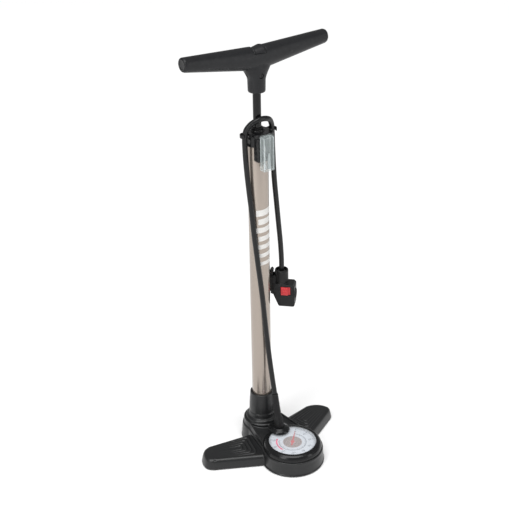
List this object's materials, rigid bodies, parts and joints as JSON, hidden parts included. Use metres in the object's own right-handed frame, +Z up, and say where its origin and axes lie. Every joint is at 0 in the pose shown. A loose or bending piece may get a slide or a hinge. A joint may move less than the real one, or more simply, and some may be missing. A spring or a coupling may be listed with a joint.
{
  "type": "floor bike pump",
  "caption": "Upright bicycle track pump: steel barrel on a swept-wing foot with a round pressure gauge, T handle, hose over the cap and a valve head.",
  "frame": {"origin": "on the floor, on the barrel's axis, at the underside of the rubber pad below the barrel", "axes": "+Z up along the barrel; -Y towards the gauge; X along the handle and the foot wings, +X on the pump head's side"},
  "size_m": [0.2416, 0.1628, 0.6376],
  "materials": {
    "foot_plastic": "satin moulded black nylon",
    "trim_plastic": "satin black",
    "handle_plastic": "fine-grained satin black",
    "head_plastic": "satin black with moulded edges",
    "black_rubber": "matte",
    "hose_rubber": "smooth satin rubber hose",
    "barrel_paint": "champagne metallic paint, satin",
    "rod_steel": "gloss black on steel tube",
    "steel": "bright zinc",
    "brass": "turned",
    "red_plastic": "gloss red",
    "dial_white": "printed card",
    "clear_plastic": "clear moulded polycarbonate",
    "white_nylon": "natural nylon"
  },
  "bodies": {
    "root": {"base_shell": "foot_plastic", "hub_pad": "black_rubber", "front_pad": "black_rubber", "left_pad": "black_rubber", "right_pad": "black_rubber", "barrel": "barrel_paint", "barrel_gasket": "black_rubber", "valve_seat": "brass", "check_valve_spring": "steel", "gauge_case": "trim_plastic", "bourdon_tube": "brass", "gauge_inlet": "brass", "movement_plate": "brass", "dial": "dial_white", "lens": "clear_plastic", "bezel": "foot_plastic", "hose_turret": "foot_plastic", "hose_boot": "black_rubber", "hose": "hose_rubber", "top_cap": "trim_plastic", "rod_guide": "white_nylon", "rod_wiper": "black_rubber", "case_holder": "trim_plastic", "head_body": "head_plastic", "valve_gasket": "black_rubber", "port_ring": "head_plastic", "hose_nut": "steel", "lever_pin": "steel"},
    "plunger": {"piston": "white_nylon", "piston_cup": "black_rubber", "piston_bumper": "black_rubber"},
    "handle_bar": {"piston_rod": "rod_steel", "piston_nut": "steel", "handle": "handle_plastic", "left_end_cap": "handle_plastic", "right_end_cap": "handle_plastic", "handle_badge": "handle_plastic", "handle_screw": "steel"},
    "gauge_needle": {"needle": "red_plastic", "needle_spindle": "steel"},
    "gauge_sector": {"sector_gear": "brass"},
    "valve_disc": {"check_valve_disc": "black_rubber"},
    "adapter_box": {"adapter_case": "clear_plastic", "ball_needle": "steel", "cone_nozzle": "white_nylon"},
    "adapter_lid": {"case_lid": "clear_plastic"},
    "thumb_lever": {"head_lever": "head_plastic"},
    "valve_switch": {"selector_switch": "red_plastic"}
  },
  "joints": [
    {"name": "pump_stroke", "type": "slide", "parent": "root", "child": "plunger", "axis": [0, 0, 1], "range_m": [-0.026, 0.38]},
    {"name": "handle_turn", "type": "hinge", "parent": "plunger", "child": "handle_bar", "pos_m": [0, 0, 0.6], "axis": [0, 0, 1], "continuous": true},
    {"name": "needle_turn", "type": "hinge", "parent": "root", "child": "gauge_needle", "pos_m": [0, -0.08, 0.0308], "axis": [0, 0, -1], "range_deg": [0, 270]},
    {"name": "sector_turn", "type": "hinge", "parent": "root", "child": "gauge_sector", "pos_m": [0.02, -0.08, 0.0198], "axis": [0, 0, 1], "range_deg": [0, 30.3], "stiffness_Nm_per_rad": 0.02},
    {"name": "check_valve_lift", "type": "slide", "parent": "root", "child": "valve_disc", "axis": [0, 0, -1], "range_m": [0, 0.002], "stiffness_N_per_m": 40, "deforming": ["check_valve_spring"]},
    {"name": "adapter_box_slide", "type": "slide", "parent": "root", "child": "adapter_box", "axis": [0, 0, -1], "range_m": [0, 0.05]},
    {"name": "adapter_lid_hinge", "type": "hinge", "parent": "adapter_box", "child": "adapter_lid", "pos_m": [0, -0.0212, 0.5138], "axis": [-1, 0, 0], "range_deg": [0, 90]},
    {"name": "thumb_lever_hinge", "type": "hinge", "parent": "root", "child": "thumb_lever", "pos_m": [0.02874, 0.00776, 0.251], "axis": [-0.7071, -0.7071, 0], "range_deg": [0, 90]},
    {"name": "valve_switch_slide", "type": "slide", "parent": "root", "child": "valve_switch", "axis": [0.7071, -0.7071, 0], "range_m": [0, 0.0045]}
  ],
  "couplings": [
    {"joint": "needle_turn", "follows": "sector_turn", "ratio": 8.9}
  ]
}
